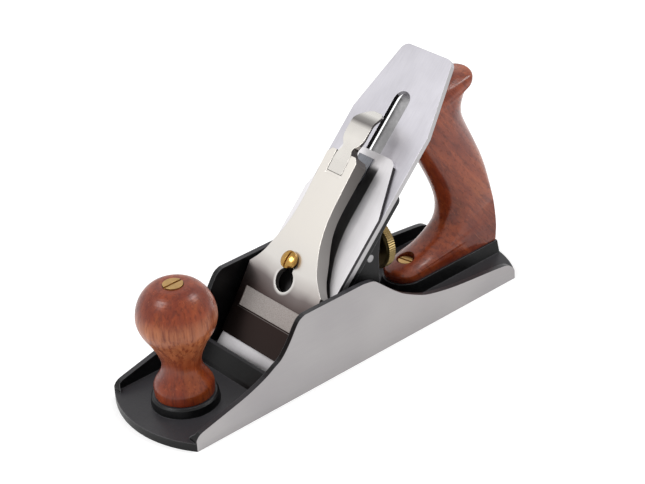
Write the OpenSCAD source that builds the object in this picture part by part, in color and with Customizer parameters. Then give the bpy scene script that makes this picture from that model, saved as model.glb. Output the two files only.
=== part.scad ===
// Bench smoothing plane with a movable frog, chip breaker, cam lever cap and wooden grips.
// Origin: middle of the sole, on its ground face. +X runs toward the heel, +Z is up.

/* [Sole casting] */
// Length of the sole
sole_len = 260; // [250:1:275]
// Width of the sole over the side walls
sole_w = 73; // [71:0.5:78]
// Thickness of the sole between the ribs
sole_t = 5; // [4:0.5:6]
// Thickness of a side wall
wall_t = 3.2; // [3:0.2:5]
// Height of the side walls at the frog
wall_h = 48.4; // [44:0.5:52]
// Height at which the side walls end at the toe and heel
wall_end_h = 7.1; // [6:0.1:8]
// Radius of the toe in plan
toe_r = 64.2; // [58:0.2:75]
// Radius of the heel in plan
heel_r = 62.4; // [58:0.2:75]
// Opening of the mouth ahead of the iron
mouth_gap = 3; // [2.6:0.1:5]
// Height of the raised pad under the handle
tote_pad_h = 12; // [11:0.5:14]
// Height of the boss under the knob
knob_boss_h = 10.6; // [9:0.1:13]

/* [Frog] */
// Angle of the bed that carries the iron
bed_angle = 45; // [45:1:47]
// Where the bed plane meets the sole
bed_x = -50.65; // [-52:0.05:-49]
// Angle of the ramp that the frog slides on
ramp_angle = 15; // [13:0.5:15.5]
// Length of the ramp
ramp_len = 68; // [64:0.5:69]
// Width of the frog's face
frog_w = 58; // [54:0.5:60]
// Length of the frog's face along the bed
frog_len = 122.5; // [118:0.5:126]
// Thickness of the frog's face
frog_t = 4; // [3.6:0.2:4.4]
// Diameter of the frog's locking pins
frog_pin_d = 8; // [6:0.2:9]
// Diameter of the three screws in the ramp's end
ramp_screw_d = 6; // [5:0.2:6.4]
// Running clearance between sliding pieces
slide_gap = 0.05; // [0.03:0.01:0.1]

/* [Iron and chip breaker] */
// Width of the iron
iron_w = 60; // [56:0.5:61]
// Thickness of the iron
iron_t = 3; // [2.6:0.1:3.2]
// Length of the iron from cutting edge to top
iron_len = 204.7; // [195:0.5:212]
// Bevel ground on the iron
iron_bevel = 25; // [23:1:30]
// Width of the iron's slot
slot_w = 11.6; // [11:0.1:12.4]
// Thickness of the chip breaker
breaker_t = 2.2; // [2:0.1:2.4]
// Length of the chip breaker along the iron
breaker_len = 139.6; // [136:0.5:142]

/* [Lever cap] */
// Width of the lever cap at its foot
cap_w = 60; // [56:0.5:61]
// Width of the lever cap's neck
cap_neck_w = 23.6; // [22:0.2:26]
// Wall of the lever cap
cap_wall = 3.2; // [2.8:0.1:3.6]
// Diameter of the cam lever's pin
cam_pin_d = 4; // [3:0.1:4.6]
// Diameter of the lever cap screw's head
cap_screw_head_d = 10.3; // [9.6:0.1:11]
// Diameter of the lever cap screw's shank
cap_screw_d = 6.6; // [5.6:0.1:7]

/* [Depth and lateral adjusters] */
// Diameter of the depth wheel
wheel_d = 32; // [28:0.5:33]
// Thickness of the depth wheel's knurled rim
wheel_t = 6; // [5:0.1:7]
// Diameter of the stud that carries the wheel
stud_d = 7; // [6:0.1:7.6]
// Height of the stud above the sole
stud_z = 43.4; // [42:0.1:45]
// Diameter of the yoke's pin
yoke_pin_d = 4.4; // [3.6:0.1:5]
// Diameter of the lateral lever's roller
roller_d = 11.4; // [10.6:0.1:11.5]

/* [Knob and handle] */
// Diameter of the knob's ball
knob_d = 43.5; // [40:0.2:46]
// Diameter of the knob's waist
knob_waist_d = 21.6; // [20:0.1:25]
// Diameter of the knob's foot
knob_base_d = 32.6; // [30:0.2:34]
// Height of the knob
knob_h = 67.2; // [60:0.2:70]
// Where the knob stands
knob_x = -97.5; // [-98:0.5:-95]
// Thickness of the handle
tote_t = 24; // [22:0.5:27]
// Diameter of the bolts through the knob and handle
bolt_d = 5.6; // [5:0.1:6]
// Diameter of the brass nuts on those bolts
nut_d = 11; // [10:0.1:12]

/* [Hidden] */
$fn = 64;

// Curves and frames shared by the pieces
function cr(a, b, c, d, t) = 0.5 * (2 * b + (c - a) * t + (2 * a - 5 * b + 4 * c - d) * t * t
    + (3 * b - a - 3 * c + d) * t * t * t);
function smooth(p, n = 4) = let (m = len(p) - 1) [for (i = [0:m - 1]) for (k = [0:n - 1])
    cr(p[max(i - 1, 0)], p[i], p[i + 1], p[min(i + 2, m)], k / n), p[m]];
function arc(x, y, r, a0, a1, n = 8) = [for (i = [0:n]) let (a = a0 + (a1 - a0) * i / n)
    [x + r * cos(a), y + r * sin(a)]];
function flip(p) = [for (i = [len(p) - 1:-1:0]) [p[i][0], -p[i][1]]];
function bed_pt(u, h) = [bed_x + u * cos(bed_angle) - h * sin(bed_angle),
    u * sin(bed_angle) + h * cos(bed_angle)];
function ramp_pt(l, n) = [ramp_x + l * cos(ramp_angle) - n * sin(ramp_angle),
    ramp_z + l * sin(ramp_angle) + n * cos(ramp_angle)];

module bed() translate([bed_x, 0, 0]) rotate([0, -bed_angle, 0]) children();
module ramp() translate([ramp_x, 0, ramp_z]) rotate([0, -ramp_angle, 0]) children();
module slab(w) rotate([90, 0, 0]) linear_extrude(w, center = true) children();
module pair() { children(); mirror([0, 1, 0]) children(); }
module along_x(d, len) rotate([0, 90, 0]) cylinder(d = d, h = len);
module stadium(l, w) {
    circle(d = w);
    translate([l, 0]) circle(d = w);
    translate([0, -w / 2]) square([l, w]);
}

// Sole
toe_x = -sole_len / 2;
heel_x = sole_len / 2;
wall_toe_x = toe_x + 11.1;
wall_heel_x = heel_x - 11.2;
inner_w = sole_w - 2 * wall_t;
mouth_front = bed_x - iron_t / sin(bed_angle) - mouth_gap;
mouth_half = iron_w / 2 + 2.1;
seat_back = 1;
pad_flare = 2.8;
pad_lip = 0.6;
tote_front_x = 52;
knob_boss_d = knob_base_d + 4;
fit = 0.1;
bolt_hole_floor = 3;

// Ramp and frog
ramp_z = sole_t + 1;
ramp_x = bed_x + ramp_z / tan(bed_angle) + seat_back / sin(bed_angle);
seat_w = 51;
cheek_out = 24;
cheek_t = 5;
base_t = 8;
frog_back = 3.4;
frog_travel = 1.5;
tongue_w = 13.8;
tongue_h = 2.9;
pin_y = 13;
pin_l = 36;
pin_depth = 10.5;
pin_head_d = 10.6;
pin_head_t = 2.5;
pin_notch = 3;
screw_n = -7.5;
lock_bite = 1.2;
screw_head_d = 9;
screw_head_t = 3;

// Iron set, all along the bed from the sole
edge_u = -iron_t;
iron_top = edge_u + iron_len;
shoulder_u = iron_top - 44.5;
iron_top_w = 38.8;
breaker_h = iron_t + breaker_t;
breaker_top = edge_u + 1.4 + breaker_len;
set_screw_u = 40;
set_screw_d = 8;
set_head_d = 15;
set_head_t = 2.6;
set_travel = 2;
iron_hole_u = 26;
iron_slot_end_u = 176;
cap_screw_u = 63;

// Yoke and wheel
yoke_px = 18;
yoke_pz = stud_z + 8.7;
yoke_u = (yoke_px - bed_x) * cos(bed_angle) + yoke_pz * sin(bed_angle);
yoke_h = yoke_pz * cos(bed_angle) - (yoke_px - bed_x) * sin(bed_angle);
finger_d = 5;
finger_w = 7;
wheel_x = 38.9;
groove_w = 5.5;
knurls = 72;
groove_d = 13;
flange_d = 18;
flange_t = 2;
fork_t = 2.8;
fork_in = groove_d / 2 + 0.3;
fork_out = fork_in + 3.2;
stud_end = wheel_x + wheel_t + 4.5;

// Lateral lever
lat_u = 112;
roller_u = 99;
lat_t = 1.6;
lat_drop = 0.15;
lat_w = 9.3;
lat_end = 179;
lat_tab = 6.5;
lat_rivet_d = 4;
channel_w = 13;
channel_h = lat_t + lat_drop + 0.15;

// Lever cap
cap_foot_u = 10.8;
cap_end_u = 128.6;
cam_u = 123.5;
cam_h = 17;
cam_slot_w = 11.8;
cam_slot_u = 114.6;
cam_w = 11.2;
cam_pin_web = 1.6;
panel_u = 28.2;
panel_l = 11.4;
panel_w = 50.6;
leaf_t = 0.8;
leaf_w = 11;
leaf_rivet_u = 103;
leaf_rivet_d = 2.6;
cam_reach = cam_h - breaker_h - fit - leaf_t - 0.3;
keyhole_u = 50.9;
keyhole_d = 11;
cap_screw_seat = 18.5;
cap_screw_head_t = 3.2;
cap_screw_dome_r = 11;
rivet_top_h = 21.5;
leaf_roof = rivet_top_h - cap_wall - fit;

module sole_outline(inset = 0) intersection() {
    square([sole_len - 2 * inset, sole_w - 2 * inset], center = true);
    union() {
        translate([toe_x + toe_r, 0]) circle(r = toe_r - inset, $fn = 180);
        translate([heel_x - heel_r, 0]) circle(r = heel_r - inset, $fn = 180);
        translate([toe_x + toe_r, -sole_w / 2]) square([sole_len - toe_r - heel_r, sole_w]);
    }
}

// Side view of the walls, low at toe and heel and high beside the frog
module wall_profile() polygon(concat(
    [[wall_toe_x, 0]],
    smooth([[wall_toe_x, sole_t], [wall_toe_x + 0.5, wall_end_h], [wall_toe_x + 3.2, wall_end_h + 2.6],
        [toe_x + 21, wall_end_h + 4.4], [toe_x + 34.5, 14.7], [-85.7, 17.1], [-78, 19.5],
        [-70.3, 22.5], [-63.7, 26],
        [-58.4, wall_h - 19.3], [-52.5, wall_h - 12.5], [-47.2, wall_h - 4.7],
        [-44.4, wall_h - 1.6], [-40.8, wall_h]], 3),
    smooth([[1, wall_h], [8.4, wall_h - 1.4], [13, wall_h - 4.8], [20, wall_h - 11.1],
        [25.2, wall_h - 15.4], [31.2, wall_h - 19.7], [41.7, 23.2], [49.9, 20.1], [65.4, 16.8],
        [81.6, 14.8], [heel_x - 34, 13.4], [heel_x - 22, wall_end_h + 5], [wall_heel_x - 6.3, 11],
        [wall_heel_x - 3, 8.9], [wall_heel_x - 0.9, 6.2], [wall_heel_x, 3]], 3),
    [[wall_heel_x, 0]]));

// Pad under the handle, round at the front and wider at the floor than at its top
module tote_pad() {
    low = tote_t / 2 + pad_flare;
    top = tote_t / 2 + pad_lip;
    h = tote_pad_h - sole_t;
    x0 = tote_front_x + tote_t / 2;
    intersection() {
        translate([x0, 0, sole_t]) union() {
            cylinder(r1 = low, r2 = top, h = h);
            rotate([90, 0, 90]) linear_extrude(heel_x - x0)
                polygon([[-low, 0], [low, 0], [top, h], [-top, h]]);
        }
        linear_extrude(tote_pad_h + 1) sole_outline(0.4);
    }
}

module seat_block() {
    back = ramp_z + ramp_len * sin(ramp_angle) - sole_t + 1;
    slab(seat_w) polygon([bed_pt(2, -seat_back), ramp_pt(0, 0), ramp_pt(ramp_len, 0),
        ramp_pt(ramp_len, -back), [ramp_pt(ramp_len, -back)[0], 1], [bed_x + 4, 1]]);
}

module sole_casting() color("dimgray") difference() {
    union() {
        linear_extrude(sole_t) sole_outline();
        intersection() {
            linear_extrude(wall_h + 1) difference() { sole_outline(); sole_outline(wall_t); }
            slab(sole_w + 2) wall_profile();
        }
        // Cross rib ahead of the mouth
        slab(inner_w + 0.5) polygon([[mouth_front - 11, 2], [mouth_front - 11, sole_t],
            [mouth_front - 9.6, sole_t + 1.6], [mouth_front - 2.6, 13], [mouth_front - 1, 13.6],
            [mouth_front, 12.8], [mouth_front, 2]]);
        seat_block();
        // Boss under the knob, drawn in a little toward its top
        translate([knob_x, 0, 0]) rotate_extrude() polygon([[0, 1], [knob_boss_d / 2 + 1, 1],
            [knob_boss_d / 2 + 0.6, sole_t + 1], [knob_boss_d / 2, knob_boss_h - 1],
            [knob_boss_d / 2 - 1, knob_boss_h], [0, knob_boss_h]]);
        tote_pad();
    }
    // Mouth, sloped to clear the iron and vertical ahead of it
    slab(2 * mouth_half) polygon([[mouth_front, -1], [mouth_front, 12.9], [mouth_front + 2, 30],
        bed_pt(30, -seat_back), bed_pt(-2, -seat_back)]);
    ramp() {
        // Groove that guides the frog
        translate([-5, -tongue_w / 2 - fit, -tongue_h - fit])
            cube([ramp_len + 10, tongue_w + 2 * fit, 20]);
        // Slots for the locking pins, long enough for the frog's travel
        pair() translate([pin_l - frog_travel - fit, pin_y, -pin_depth - fit])
            linear_extrude(30) stadium(2 * (frog_travel + fit), frog_pin_d + 2 * fit);
        // Threaded holes in the end of the ramp
        pair() translate([pin_l, pin_y, screw_n]) along_x(ramp_screw_d + fit, ramp_len);
        translate([40, 0, screw_n]) along_x(ramp_screw_d + fit, ramp_len);
    }
    translate([knob_x, 0, bolt_hole_floor]) cylinder(d = bolt_d + fit, h = knob_boss_h);
    tote_bolt_line() translate([0, 0, 2.6]) cylinder(d = bolt_d + fit, h = tote_pad_h);
    translate([toe_screw_x, 0, bolt_hole_floor])
        cylinder(d = toe_screw_d + fit, h = tote_pad_h);
}

module frog() color("#1c1d1f") difference() {
    union() {
        difference() {
            union() {
                bed() translate([0, 0, -frog_t]) linear_extrude(frog_t + 2) frog_face();
                slab(2 * cheek_out) polygon([ramp_pt(-3, -2), ramp_pt(ramp_len + frog_back, -2),
                    ramp_pt(ramp_len + frog_back, base_t), ramp_pt(-3, base_t)]);
                pair() translate([0, cheek_out - cheek_t / 2, 0]) slab(cheek_t) cheek();
                // Boss that holds the stud, and the one that holds the lever cap screw
                translate([-14, 0, stud_z]) along_x(stud_d * 2, 25);
                bed() translate([cap_screw_u, 0, -frog_t - 4.5]) cylinder(d = 12, h = 8);
            }
            bed() translate([-60, -60, 0]) cube([300, 120, 100]);
            ramp() translate([-60, -60, slide_gap - 100]) cube([300, 120, 100]);
        }
        // Tongue that runs in the ramp's groove
        ramp() translate([14, -tongue_w / 2, -tongue_h])
            cube([ramp_len + frog_back - 14, tongue_w, tongue_h + 1]);
    }
    bed() {
        translate([set_screw_u, 0, -frog_t - 6]) cylinder(r = set_head_d / 2 + set_travel + 0.5, h = 20);
        translate([cap_screw_u, 0, -30]) cylinder(d = cap_screw_d + fit, h = 40);
        translate([yoke_u - 7, -5, -frog_t - 4]) cube([14, 10, 20]);
        translate([roller_u, 0, -channel_h]) linear_extrude(20) stadium(60, channel_w);
        translate([lat_u, 0, -20]) cylinder(d = lat_rivet_d + fit, h = 30);
    }
    ramp() pair() translate([pin_l, pin_y, -5]) {
        cylinder(d = frog_pin_d + fit, h = 60);
        translate([0, 0, 5 + base_t]) cylinder(d = pin_head_d + 0.6, h = 60);
    }
    ramp() translate([ramp_len - 4, 0, clip_n]) along_x(clip_screw_d + fit, 20);
    translate([4, 0, stud_z]) along_x(stud_d + fit, 40);
    translate([yoke_px, 0, yoke_pz]) rotate([90, 0, 0])
        cylinder(d = yoke_pin_d + fit, h = 80, center = true);
}

// Face of the frog with rounded upper corners
module frog_face() polygon(let (r = 4, p = concat([[0, frog_w / 2]],
    arc(frog_len - r, frog_w / 2 - r, r, 90, 0))) concat(p, flip(p)));

module cheek() polygon(concat([bed_pt(-2, 1), bed_pt(frog_len - 5, 1)],
    smooth([bed_pt(frog_len - 4, -2), bed_pt(frog_len - 12, -7), [yoke_px + 9, yoke_pz + 12],
        [yoke_px + 6.4, yoke_pz + 2], [yoke_px + 6, yoke_pz - 9],
        ramp_pt(ramp_len + frog_back, base_t)], 4),
    [ramp_pt(ramp_len + frog_back, -1), ramp_pt(-2, -1)]));

module frog_pins() color("silver") ramp() pair() translate([pin_l, pin_y, 0]) difference() {
    union() {
        translate([0, 0, -pin_depth]) cylinder(d = frog_pin_d, h = pin_depth + base_t + 1);
        translate([0, 0, base_t]) cylinder(d = pin_head_d, h = pin_head_t);
    }
    // Notch for the tip of the locking screw
    translate([frog_pin_d / 2 - pin_notch, 0, screw_n]) rotate([0, 90, 0])
        cylinder(d1 = 1.6, d2 = ramp_screw_d + 1.2, h = pin_notch + 0.1);
}

module slotted_screw(d, len, head_d, head_t, slot = 1.2) difference() {
    union() {
        translate([0, 0, -len]) cylinder(d = d, h = len + 0.5);
        cylinder(d = head_d, h = head_t);
    }
    translate([-head_d, -slot / 2, head_t * 0.5]) cube([2 * head_d, slot, head_t]);
}

module frog_locking_screws() color("silver") ramp() pair() translate([0, pin_y, screw_n]) {
    tip_l = pin_l + frog_pin_d / 2 - lock_bite;
    translate([tip_l, 0, 0]) rotate([0, 90, 0]) cylinder(d1 = 2, d2 = ramp_screw_d, h = 3);
    translate([ramp_len, 0, 0]) rotate([0, 90, 0])
        slotted_screw(ramp_screw_d, ramp_len - tip_l - 3, screw_head_d, screw_head_t);
}

neck_d = 4.4;
clip_t = 1.6;
clip_n = 4;
clip_screw_d = 3;
clip_l = ramp_len + frog_back;
module frog_adjust_screw() color("silver") ramp() translate([0, 0, screw_n]) {
    translate([44, 0, 0]) along_x(ramp_screw_d, clip_l - fit - 45.4);
    translate([clip_l - fit - 1.4, 0, 0]) along_x(screw_head_d, 1.4);
    translate([clip_l - fit - 0.1, 0, 0]) along_x(neck_d, clip_t + 2 * fit + 0.2);
    translate([clip_l + clip_t + fit, 0, 0]) rotate([0, 90, 0])
        slotted_screw(neck_d, 0.1, screw_head_d, screw_head_t);
}

module frog_clip() color("silver") ramp() translate([clip_l, 0, 0]) difference() {
    rotate([90, 0, 90]) linear_extrude(clip_t) difference() {
        translate([-6, screw_n - 4.5]) square([12, base_t - screw_n + 3]);
        translate([0, screw_n]) circle(d = neck_d + 2 * fit);
        translate([-neck_d / 2 - fit, screw_n - 10]) square([neck_d + 2 * fit, 10]);
    }
    translate([-1, 0, clip_n]) along_x(clip_screw_d + fit, 5);
}

module frog_clip_screw() color("silver") ramp() translate([clip_l + clip_t, 0, clip_n])
    rotate([0, 90, 0]) slotted_screw(clip_screw_d, clip_t + 5, 5.6, 1.8, 0.8);

module depth_stud() color("silver") translate([4.5, 0, stud_z]) {
    along_x(stud_d, stud_end - 4.5 - 1);
    translate([stud_end - 5.5, 0, 0]) rotate([0, 90, 0])
        cylinder(d1 = stud_d, d2 = stud_d - 2, h = 1);
}

// Knurled rim, groove for the yoke and front flange, all in one turning
module depth_wheel() color("goldenrod") translate([wheel_x, 0, stud_z]) rotate([0, 90, 0])
    difference() {
        union() {
            rotate_extrude($fn = 96) polygon([[0, 0], [wheel_d / 2 - 2.2, 0],
                [wheel_d / 2 - 1.2, 0.7], [wheel_d / 2 - 1.2, wheel_t - 0.7],
                [wheel_d / 2 - 2.2, wheel_t], [9, wheel_t], [7, wheel_t - 1.2], [0, wheel_t - 1.2]]);
            // Knurled band
            translate([0, 0, 0.7]) linear_extrude(wheel_t - 1.4)
                polygon([for (i = [0:2 * knurls - 1]) let (r = wheel_d / 2 - 0.6 * (i % 2))
                    [r * cos(180 * i / knurls), r * sin(180 * i / knurls)]]);
            translate([0, 0, -groove_w - 0.1]) cylinder(d = groove_d, h = groove_w + 0.2);
            translate([0, 0, -groove_w - flange_t]) cylinder(d = flange_d, h = flange_t);
        }
        translate([0, 0, -20]) cylinder(d = stud_d + 2 * slide_gap, h = 40);
    }

module yoke() color("#2a2a2c") difference() {
    union() {
        translate([yoke_px, 0, yoke_pz]) rotate([90, 0, 0])
            cylinder(d = 8.6, h = 2 * fork_out + 6, center = true);
        // Finger that reaches through the frog and iron into the chip breaker
        bed() translate([yoke_u, 0, 0]) {
            slab(finger_w) union() {
                translate([0, breaker_h - 0.9]) circle(d = finger_d);
                polygon([[-3.4, yoke_h + 1], [-1.7, -3], [-1.7, breaker_h - 0.9],
                    [1.7, breaker_h - 0.9], [1.7, -3], [3.4, yoke_h + 1]]);
            }
        }
        // Arms that reach over the flange and drop into the groove
        pair() translate([0, (fork_in + fork_out) / 2, 0]) slab(fork_out - fork_in) union() {
            x1 = wheel_x - groove_w / 2;
            polygon([[yoke_px, yoke_pz + 0.3], [x1 - 2, yoke_pz + 0.6], [x1 - fork_t / 2, yoke_pz - 1],
                [x1 - fork_t / 2, stud_z], [x1 + fork_t / 2, stud_z],
                [x1 + fork_t / 2, yoke_pz + 3.6], [x1 - 1, yoke_pz + 4.6],
                [yoke_px, yoke_pz + 4.2]]);
            translate([x1, stud_z]) circle(d = fork_t);
        }
    }
    translate([yoke_px, 0, yoke_pz]) rotate([90, 0, 0])
        cylinder(d = yoke_pin_d + fit, h = 80, center = true);
}

module yoke_pin() color("silver") translate([yoke_px, 0, yoke_pz]) rotate([90, 0, 0])
    cylinder(d = yoke_pin_d, h = 2 * cheek_out, center = true);

// Lateral lever: flat arm under the iron, ending in a small tab bent back for the finger
module lateral_lever() color("silver") bed() difference() {
    union() {
        intersection() {
            slab(lat_w + 4) polygon(concat([[roller_u - lat_w, -lat_drop]],
                smooth([[lat_end - 14, -lat_drop], [lat_end - 7, -lat_drop - 0.2],
                    [lat_end - 2.5, -1.6], [lat_end, -4.6], [lat_end, -lat_tab]], 4),
                smooth([[lat_end - lat_t, -lat_tab], [lat_end - lat_t, -5.2],
                    [lat_end - 3.6, -3.2], [lat_end - 7.6, -lat_drop - lat_t - 0.2],
                    [lat_end - 14, -lat_drop - lat_t]], 4),
                [[roller_u - lat_w, -lat_drop - lat_t]]));
            translate([roller_u, 0, -20]) linear_extrude(30) {
                circle(d = lat_w);
                translate([0, -lat_w / 2]) square([lat_end + 5 - roller_u, lat_w]);
            }
        }
        translate([roller_u, 0, -lat_drop - 0.1]) cylinder(d = 3.6, h = 2.6);
    }
    translate([lat_u, 0, -20]) cylinder(d = lat_rivet_d + fit, h = 30);
}

module lateral_rivet() color("silver") bed() translate([lat_u, 0, 0]) {
    translate([0, 0, -frog_t - 0.8]) cylinder(d = lat_rivet_d, h = frog_t + 0.8 - lat_drop);
    translate([0, 0, -frog_t - 1.4]) cylinder(d = lat_rivet_d + 2.6, h = 1.4);
}

module lateral_roller() color("silver") bed() translate([roller_u, 0, 0.1]) difference() {
    cylinder(d = roller_d, h = iron_t - 0.4);
    translate([0, 0, -1]) cylinder(d = 3.6 + fit, h = 10);
}

module iron() color("lightgray") bed() difference() {
    r = 5.5;
    p = concat([[edge_u, iron_w / 2], [shoulder_u, iron_w / 2]],
        arc(iron_top - r, iron_top_w / 2 + 0.7 - r, r, 76, 0));
    linear_extrude(iron_t) polygon(concat(p, flip(p)));
    // Bevel on the bed side
    slab(iron_w + 2) polygon([[edge_u - 1, iron_t - 0.05 + tan(iron_bevel)], [edge_u - 1, -1],
        [edge_u + (iron_t + 0.95) / tan(iron_bevel), -1]]);
    translate([0, 0, -1]) linear_extrude(iron_t + 2) {
        translate([iron_hole_u, 0]) circle(d = set_head_d + 1.6);
        translate([iron_hole_u, 0]) stadium(iron_slot_end_u - slot_w / 2 - iron_hole_u, slot_w);
    }
}

// Chip breaker: flat spring steel, curved down onto the iron behind the edge
module chip_breaker() color("gainsboro") bed() difference() {
    intersection() {
        slab(iron_w) polygon(concat(
            smooth([[edge_u + 1.4, iron_t + 0.02], [edge_u + 3, iron_t + 1.5],
                [edge_u + 6, iron_t + 2.45], [edge_u + 10, iron_t + 2.75],
                [edge_u + 17, iron_t + 2.5], [edge_u + 26, breaker_h]], 4),
            [[breaker_top, breaker_h], [breaker_top, iron_t]],
            smooth([[edge_u + 26, iron_t], [edge_u + 17, iron_t + 0.35],
                [edge_u + 10, iron_t + 0.6], [edge_u + 5, iron_t + 0.35],
                [edge_u + 2.4, iron_t]], 4)));
        linear_extrude(30) polygon(let (r = 6, p = concat(
            [[edge_u - 1, iron_w / 2], [breaker_top - 33, iron_w / 2]],
            arc(breaker_top - r, 21 - r, r, 74, 0))) concat(p, flip(p)));
    }
    translate([set_screw_u, 0, -1]) cylinder(d = 6 + fit, h = 20);
    translate([cap_screw_u - 6, 0, -1]) linear_extrude(20) stadium(16, cap_screw_d + 4);
    translate([yoke_u - finger_d / 2 - 0.3, -finger_w / 2 - 1.1, -1])
        cube([finger_d + 0.6, finger_w + 2.2, 20]);
}

module chip_breaker_screw() color("silver") bed() translate([set_screw_u, 0, 0]) difference() {
    union() {
        translate([0, 0, -set_head_t - fit]) cylinder(d = set_head_d, h = set_head_t);
        translate([0, 0, -fit - 0.1]) cylinder(d = set_screw_d, h = iron_t + fit);
        cylinder(d = 6, h = breaker_h);
    }
    translate([-set_head_d, -0.7, -set_head_t - 1]) cube([2 * set_head_d, 1.4, 2.2]);
}

// Plan of the lever cap: full width over the panel, then drawn in to the neck
module cap_plan(inset = 0) polygon(let (w = cap_w / 2 - inset, n = cap_neck_w / 2 - inset)
    let (p = concat([[cap_foot_u, w], [50, w]],
        smooth([[52.5, w], [57, w - 4.4], [62, w - 8.2], [69, n + 6.6], [76, n + 3.7],
            [84, n + 1.6], [92, n + 0.4], [100, n]], 3),
        [[cap_end_u - 3, n], [cap_end_u, n - 2.5]])) concat(p, flip(p)));

module lever_cap() color("lightgray") bed() difference() {
    top = smooth([[cap_foot_u, 7.3], [19, 8.4], [27.5, 9.8], [39.5, 12.1], [52.5, 15],
        [63, 17.5], [72, 19], [84, 20.2], [98, 21.2], [114, 22.2], [cap_end_u, 23]], 3);
    intersection() {
        linear_extrude(60) cap_plan();
        slab(cap_w + 2) polygon(concat(top, smooth([[cap_end_u, 13.6], [98, 13.3], [85, 12],
            [72, 8.7], [57, 7.8], [44, 6.9], [26, breaker_h + 0.9]], 3),
            [[22, breaker_h + 0.62], [cap_foot_u, breaker_h + 0.62]]));
    }
    // Hollow underneath, open toward the iron
    intersection() {
        translate([0, 0, -1]) linear_extrude(60) cap_plan(cap_wall);
        slab(cap_w) polygon(concat([for (p = top) if (p[0] > 26) [p[0], p[1] - cap_wall]],
            [[cap_end_u + 5, 19], [cap_end_u + 5, -1], [26, -1]]));
    }
    // Shallow plain panel
    translate([panel_u, 0, 0]) slab(panel_w)
        polygon([[0, 9.4], [panel_l, 11.5], [panel_l, 30], [0, 30]]);
    // Keyhole for the lever cap screw
    linear_extrude(60) {
        translate([keyhole_u, 0]) circle(d = keyhole_d);
        translate([keyhole_u, 0]) stadium(cap_screw_u - keyhole_u, cap_screw_d + 1);
    }
    // Fork for the cam lever
    translate([cam_slot_u, -cam_slot_w / 2, 0]) cube([30, cam_slot_w, 60]);
    // Pin hole drilled from the far side and left blind on the near one
    translate([cam_u, 30, cam_h]) rotate([90, 0, 0])
        cylinder(d = cam_pin_d + fit, h = 30 + cap_neck_w / 2 - cam_pin_web);
    translate([leaf_rivet_u, 0, 0]) cylinder(d = leaf_rivet_d + fit, h = 20);
}

module lever_cap_screw() color("goldenrod") bed() translate([cap_screw_u, 0, 0]) difference() {
    union() {
        translate([0, 0, -frog_t - 3]) cylinder(d = cap_screw_d, h = cap_screw_seat + frog_t + 3.5);
        // Domed head
        intersection() {
            translate([0, 0, cap_screw_seat]) cylinder(d = cap_screw_head_d, h = cap_screw_head_t);
            translate([0, 0, cap_screw_seat + cap_screw_head_t - cap_screw_dome_r])
                sphere(r = cap_screw_dome_r, $fn = 96);
        }
    }
    translate([-10, -0.6, cap_screw_seat + cap_screw_head_t / 2]) cube([20, 1.2, 10]);
}

// Cam lever: lobe that presses the leaf, neck between the ears, broad tab with its tip bent down
module cam_lever() color("lightgray") bed() difference() {
    intersection() {
        slab(40) polygon(concat(
            smooth([[cam_u + 33.7, cam_h - 2.2], [cam_u + 32.7, cam_h - 1.4], [cam_u + 29.1, cam_h + 2],
                [cam_u + 26.5, cam_h + 4.2], [cam_u + 24.3, cam_h + 5], [cam_u + 20, cam_h + 5.1],
                [cam_u + 13, cam_h + 5.2], [cam_u + 6, cam_h + 5.6], [cam_u + 1, cam_h + 5.95]], 4),
            arc(cam_u, cam_h, 6, 100, 190),
            arc(cam_u + 0.8, cam_h - cam_reach + 5, 5, 195, 345),
            smooth([[cam_u + 6, cam_h - 1.4], [cam_u + 9, cam_h + 0.8], [cam_u + 13, cam_h + 3.1],
                [cam_u + 20, cam_h + 3.8], [cam_u + 23.8, cam_h + 3.7], [cam_u + 25.8, cam_h + 2.9],
                [cam_u + 28.3, cam_h + 0.9], [cam_u + 32.6, cam_h - 3.1]], 4)));
        linear_extrude(60) polygon(let (p = concat([[cam_u - 7, cam_w / 2], [cam_u + 4, cam_w / 2]],
            smooth([[cam_u + 5.4, 5], [cam_u + 7.8, 3.9], [cam_u + 9.6, 4.6],
                [cam_u + 12.4, 6.9], [cam_u + 15.5, 7.9], [cam_u + 20, 8.1], [cam_u + 25, 7.9],
                [cam_u + 29.1, 6.9], [cam_u + 32, 5.4], [cam_u + 33.7, 3]], 3))) concat(p, flip(p)));
    }
    translate([cam_u, 0, cam_h]) rotate([90, 0, 0])
        cylinder(d = cam_pin_d + fit, h = 60, center = true);
}

module cam_pin() color("silver") bed() translate([cam_u, cap_neck_w / 2, cam_h]) rotate([90, 0, 0])
    cylinder(d = cam_pin_d, h = cap_neck_w - cam_pin_web - fit);

module cam_spring() color("silver") bed() difference() {
    low = breaker_h + fit;
    slab(leaf_w) polygon(concat(
        smooth([[98, leaf_roof - 0.3], [104, leaf_roof], [109, leaf_roof - 1.6], [113, leaf_roof - 6],
            [117, low + 2.6], [121, low + leaf_t + 0.1], [126, low + leaf_t], [134, low + leaf_t]], 4),
        smooth([[134, low], [126, low], [121, low + 0.1], [116.4, low + 2],
            [112.2, leaf_roof - 6.4], [108.6, leaf_roof - 2.3], [104, leaf_roof - leaf_t],
            [98, leaf_roof - 0.3 - leaf_t]], 4)));
    translate([leaf_rivet_u, 0, 0]) cylinder(d = leaf_rivet_d + fit, h = 40);
}

module cam_spring_rivet() color("silver") bed() translate([leaf_rivet_u, 0, 0]) {
    translate([0, 0, leaf_roof - leaf_t - 1.3]) cylinder(d = leaf_rivet_d + 2, h = 1);
    translate([0, 0, leaf_roof - leaf_t - 0.5]) cylinder(d = leaf_rivet_d, h = 2);
}

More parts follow.
